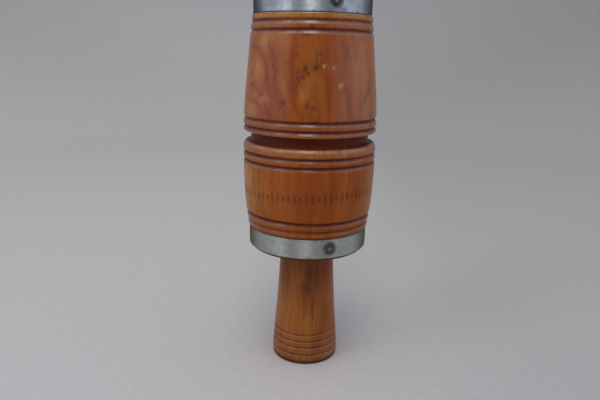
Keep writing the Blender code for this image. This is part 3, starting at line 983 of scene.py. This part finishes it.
def make_stopper():
    obj = spun("stopper_wood", stopper_outline(), 224, solid=True)
    carved(obj, air_channel(), board_cutter())

    turn, height, radius = cylinder_places(obj.data)
    surface = curve_at(STEM_STATIONS, height)
    outer = (np.abs(radius - surface) < 0.02) & (height > 0.4) & (height < 45.8)
    rings, ring_dirt_and_shade, sheen = ring_shape(turn, height, FOOT_RINGS, FOOT_RING_REACH, FOOT_RING_DEPTH, 41)
    knocks = list(STOPPER_MARKS) + scattered_marks(17, 34, 1.0, 30.0, 0.9, 0.035)
    dents, dirt = add_marks(turn, height, surface, knocks)
    uneven = 0.02 * (1 + ripple(turn, height, 8, 7, 3, 40.0) * 0.5)
    press_in(obj.data, np.where(outer, rings + dents + uneven, 0.0))

    # Painted shadow of the barrel on the top of the stem
    painted_shadow_under_barrel = smooth(height, 26.0, 33.0) * 0.5
    # Painted contact shadow along the bottom of the foot
    foot_contact_shadow = 1 - smooth(height, 0.25, 1.5)
    # Dirt and painted shade in the foot rings, the painted contact shadow and the painted shadow under the
    # barrel
    grime = np.where(outer, np.maximum.reduce([ring_dirt_and_shade * 0.6, foot_contact_shadow, painted_shadow_under_barrel]), 0.2)
    # The underside gets painted shade
    grime = np.where(height < 0.5, 0.6, grime)
    in_airway = (radius < 4.6) & (height < 45.0)
    # Inside the air way: dirt, and painted shade that darkens further in
    grime = np.where(in_airway, 0.55 + 0.4 * smooth(height, 0.5, 7.0), grime)
    ring_edges = smooth(rings, 0.0, 0.05) * (1 - smooth(rings, 0.07, 0.14))
    rubbed = (1 - smooth(height, 1.5, 6.0)) * 0.2
    _, amber = add_marks(turn, height, surface, STOPPER_AMBER)
    paint(
        obj.data,
        grime=grime,
        soot=np.where(outer, np.maximum(dirt * 0.85, foot_contact_shadow), 0.0),
        worn=np.where(outer, ring_edges * 0.3 + rubbed + (height > 34) * 0.35, 0.4),
        varnish=np.where(outer, sheen * 0.55, 0.0),
        amber=amber * (height < 34),
    )
    material = wood(
        "stopper_varnished_wood",
        light=(0.34, 0.095, 0.012),
        deep=(0.235, 0.054, 0.005),
        dark=(0.09, 0.015, 0.003),
        pith=(-30.0, 34.0),
        spacing=1.8,
        seed=8,
        gloss=0.34,
    )
    shade(obj, material, 40)
    finish_piece(obj, "stopper", "stopper")


def make_wedge():
    """The half-round block that clamps the reed's tail, with its top rounded over."""
    low, high = span("wedge_block")
    outline = np.concatenate(
        [
            [(r, low) for r in (0.0, 3.0, 5.5)],
            arc((WEDGE_RADIUS - 0.25, low + 0.25), (0.25, 0.25), -90, 0, 4),
            [(WEDGE_RADIUS, h) for h in np.linspace(low + 0.8, high - WEDGE_ROUND - 0.2, 10)],
            arc((WEDGE_RADIUS - WEDGE_ROUND, high - WEDGE_ROUND), (WEDGE_ROUND, WEDGE_ROUND), 0, 90, 12),
            [(3.0, high), (0.0, high)],
        ]
    )
    obj = spun("wedge_wood", outline, 160, solid=True)
    half = [(-BOARD_FACE, low - 1), (40, low - 1), (40, high + 1), (-BOARD_FACE, high + 1)]
    carved(obj, prism(half, 40.0))
    turn, height, reach = cylinder_places(obj.data)
    knocks = scattered_marks(23, 14, low, high, 0.9, 0.05)
    dents, dirt = add_marks(turn, height, WEDGE_RADIUS, knocks)
    press_in(obj.data, np.where(reach > WEDGE_RADIUS - 0.3, dents, 0.0))
    # Darker over its lowest millimetre
    grime = 0.25 * smooth(low + 1.0 - height, 0.0, 1.0)
    paint(obj.data, grime=grime, soot=dirt * 0.4, worn=0.25, amber=0.3)
    material = wood(
        "wedge_bare_wood",
        light=(0.44, 0.25, 0.105),
        deep=(0.34, 0.17, 0.062),
        dark=(0.18, 0.08, 0.025),
        pith=(9.0, 26.0),
        spacing=1.1,
        seed=14,
        gloss=0.6,
    )
    shade(obj, material, 40)
    finish_piece(obj, "wedge_block", "stopper")


CLAMP_EDGE = 56.0  # height where the reed's blade leaves the clamp
REED_COLUMNS = 25
REED_ROWS = 96


def reed_points():
    """Points of the strip's two faces, side by side in one list, row by row up from the tail."""
    low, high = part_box("reed")
    half, thick = high.x / MM, (high.y - low.y) / 2 / MM
    bottom, top = low.z / MM, high.z / MM
    tip = half * 2 / 3
    points = []
    for side in (-1, 1):
        for k in range(REED_ROWS):
            z = bottom + (top - bottom) * math.sin(k / (REED_ROWS - 1) * math.pi / 2)
            over = max(0.0, (z - (top - tip)) / tip)
            wide = half * math.sqrt(max(0.0004, 1 - over * over))
            for v in np.sin(np.linspace(-1, 1, REED_COLUMNS) * math.pi / 2):
                edge = min((1 - abs(v)) * wide, top - z + 0.02, z - bottom + 0.02)
                y = side * thick * min(1.0, 0.55 + 0.45 * smooth(edge, 0.0, 0.25))
                points.append((v * wide * MM, y * MM, z * MM))
    return points


def reed_faces():
    """The strip's two faces, and the narrow wall between their edges."""
    sheet = REED_COLUMNS * REED_ROWS
    faces = []
    for start in (0, sheet):
        for k in range(REED_ROWS - 1):
            for i in range(REED_COLUMNS - 1):
                a = start + k * REED_COLUMNS + i
                faces.append((a, a + 1, a + REED_COLUMNS + 1, a + REED_COLUMNS))
    last = REED_COLUMNS - 1
    loop = [k * REED_COLUMNS for k in range(REED_ROWS)]
    loop += [(REED_ROWS - 1) * REED_COLUMNS + i for i in range(1, REED_COLUMNS)]
    loop += [k * REED_COLUMNS + last for k in range(REED_ROWS - 2, -1, -1)]
    loop += range(last - 1, 0, -1)
    for a, b in zip(loop, loop[1:] + loop[:1]):
        faces.append((a, b, b + sheet, a + sheet))
    return faces


def make_reed():
    """A rolled brass strip with rounded edges and tip; its tail sits in the clamp."""
    obj = closed_object("reed_strip", drawn(reed_points(), reed_faces()))
    co = coordinates(obj.data) / MM
    across, height = np.abs(co[:, 0]), co[:, 2]
    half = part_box("reed")[1].x / MM
    near_clamp = np.exp(-(((height - CLAMP_EDGE) / 1.6) ** 2))
    paint(
        obj.data,
        # Darker near the clamp edge and below it
        grime=0.12 + 0.35 * near_clamp + 0.25 * (height < CLAMP_EDGE - 1),
        worn=smooth(across, half - 0.5, half) * 0.4,
    )
    brass = plated_metal("reed_brass", (0.66, 0.4, 0.1), (0.3, 0.16, 0.045), (0.9, 0.7, 0.4), 0.2, 31)
    shade(obj, brass, 50)
    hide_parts("reed")
    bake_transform(obj)


# Stage. Its places and sizes are in metres, apart from those in the floor's material

LIGHT_TINT = (0.93, 0.97, 1.06)
ROOM_TINT = (0.86, 0.95, 1.24)
PANEL_POWER = 1.55
LEFT_POWER = 0.55
ROOM_FRONT = 0.12
ROOM_SIDES = 0.66
ROOM_BACK = 0.12
ROOM_CEILING = 0.74
STRIP_LIGHT = 0.35
FLOOR_DEEP = (0.482, 0.433, 0.35)
FLOOR_PALE = (0.52, 0.468, 0.383)
# Centre of the painted pool of light on the backdrop, in mm
PAINTED_GLOW_PLACE = (-24.0, 560.0, 260.0)
LENS = 33.72
CAMERA_PLACE = (0.0, -0.1489, 0.0848)
CAMERA_TURN, CAMERA_DIP, CAMERA_ROLL = 0.848, 14.948, 1.2092


def round_sheet(name, profile):
    points, faces = turned(profile, 96, False)
    mesh = bpy.data.meshes.new(name)
    mesh.from_pydata(points.tolist(), [], faces)
    mesh.shade_smooth()
    return link(name, mesh)


def floor_material():
    """Plain and matt, softly mottled. Painted shade darkens it to the right, it warms towards the back, and a
    painted pool of light makes it palest high on the backdrop."""
    s = Shader("stage_pale")
    mottled = s.clouds(s.place, (0.5, 0.5, 0.5), 5, 0.7, 0.3, 0.7)
    tint = s.mix(mottled, FLOOR_DEEP, FLOOR_PALE)
    right, back, _ = s.node("SeparateXYZ", {"Vector": s.place}).outputs
    # Painted shade that darkens the floor to the right
    tint = s.mix(s.fade(right, -6.0, 76.0, 0.0, 0.17), tint, (0.0, 0.0, 0.0))
    cast = s.mix(s.fade(back, -40.0, 110.0), (1.0, 1.0, 1.05), (1.0, 1.0, 0.965))
    tint = s.mix(1.0, tint, cast, "MULTIPLY")
    # A painted pool of light high on the backdrop
    away = s.vector("SUBTRACT", s.stretched(s.place, 0.6, 1.0, 1.0), PAINTED_GLOW_PLACE)
    painted_glow = s.fade(s.vector("LENGTH", away), 270.0, 120.0, 0.0, 0.15)
    tint = s.mix(painted_glow, tint, (0.95, 0.95, 1.0))
    return s.finish(base_color=tint, roughness=0.9)


def make_stage():
    """A plain pale floor, and round it a backdrop that curves up and only the camera sees."""
    edge, curve, tall, steps = 0.4, 0.16, 0.5, 16
    floor = round_sheet("floor", [(0.0001, 0.0), (0.1, 0.0), (edge, 0.0)])
    rise = [(edge, 0.0)]
    for k in range(1, steps + 1):
        turn = math.radians(90 * k / steps)
        rise.append((edge + curve * math.sin(turn), curve - curve * math.cos(turn)))
    backdrop = round_sheet("backdrop", [*rise, (edge + curve, tall)])
    backdrop.visible_diffuse = False
    backdrop.visible_glossy = False
    backdrop.visible_shadow = False
    material = floor_material()
    floor.data.materials.append(material)
    backdrop.data.materials.append(material)


def area_light(name, place, size, power):
    """A soft light that points at the middle of the call."""
    data = bpy.data.lights.new(name, "AREA")
    data.shape = "RECTANGLE"
    data.size, data.size_y = size
    data.energy = power
    data.color = LIGHT_TINT
    light = bpy.data.objects.new(name, data)
    light.location = place
    light.rotation_euler = (Vector((0, 0, 0.05)) - Vector(place)).to_track_quat("-Z", "Y").to_euler()
    bpy.context.scene.collection.objects.link(light)


def make_room():
    """The room that lights the object and that varnish and metal reflect: a bright ceiling, a dim front and
    back, and two bright sides, of which the left one has a brighter upright strip near the front."""
    world = bpy.data.worlds.new("room")
    n = Nodes(world)
    way = n.node("TexCoord", {}).outputs["Generated"]
    x, y, z = n.node("SeparateXYZ", {"Vector": way}).outputs
    azimuth = n.math("MULTIPLY", n.math("ARCTAN2", x, n.math("MULTIPLY", y, -1.0)), 180 / math.pi)
    aside = n.math("ABSOLUTE", azimuth)
    side = n.math("ADD", n.fade(azimuth, 34.0, 50.0), n.fade(azimuth, -30.0, -70.0, 0.0, 0.84))
    sides = n.math("MULTIPLY", side, n.fade(aside, 128.0, 100.0, 0.0, ROOM_SIDES))
    back = n.fade(aside, 100.0, 145.0, 0.0, ROOM_BACK)
    strip = n.math("MULTIPLY", n.fade(azimuth, -74.0, -60.0), n.fade(azimuth, -40.0, -44.0, 0.0, STRIP_LIGHT))
    walls = n.math("ADD", n.math("ADD", sides, back), n.math("ADD", strip, ROOM_FRONT))
    bright = n.node("Mix", {0: n.fade(z, 0.3, 0.75), 2: walls, 3: ROOM_CEILING}).outputs[0]
    n.put(n.nodes["Background"].inputs["Color"], (*ROOM_TINT, 1.0))
    n.put(n.nodes["Background"].inputs["Strength"], bright)
    bpy.context.scene.world = world


def make_camera():
    """Held close, just under the height of the mouth, looking down the barrel to the foot."""
    data = bpy.data.cameras.new("camera")
    data.sensor_width = 36.0
    data.lens = LENS
    data.clip_start = 0.01
    camera = bpy.data.objects.new("camera", data)
    aim = Matrix.Rotation(math.radians(CAMERA_TURN), 4, "Z")
    aim @= Matrix.Rotation(math.radians(90 - CAMERA_DIP), 4, "X")
    aim @= Matrix.Rotation(math.radians(CAMERA_ROLL), 4, "Z")
    camera.matrix_world = Matrix.Translation(CAMERA_PLACE) @ aim
    bpy.context.scene.collection.objects.link(camera)
    bpy.context.scene.camera = camera


def main():
    make_barrel()
    edge = (0.32, 0.32, 0.24)
    nickel_end = plated_metal("nickel_end", (0.485, 0.495, 0.425), (0.2, 0.18, 0.11), edge, 0.36, 2)
    nickel_mouth = plated_metal("nickel_mouth", (0.55, 0.58, 0.58), (0.2, 0.18, 0.13), edge, 0.36, 2)
    nail = plated_metal("nail_metal", (0.13, 0.13, 0.12), (0.1, 0.085, 0.07), (0.4, 0.4, 0.4), 0.36, 5)
    make_band("end", 51, ((-6.2, 2.3, 0.13),), nickel_end, nail)
    make_band("mouth", 61, ((-0.65, 1.7, 0.35),), nickel_mouth, nail)
    make_stopper()
    make_wedge()
    make_reed()
    make_stage()
    area_light("front_panel", (-0.026, -0.3, 0.6), (0.19, 0.5), PANEL_POWER)
    area_light("left_panel", (-0.385, -0.27, 0.5), (0.17, 0.5), LEFT_POWER)
    make_room()
    make_camera()
    bpy.context.scene.view_settings.view_transform = "Standard"


main()
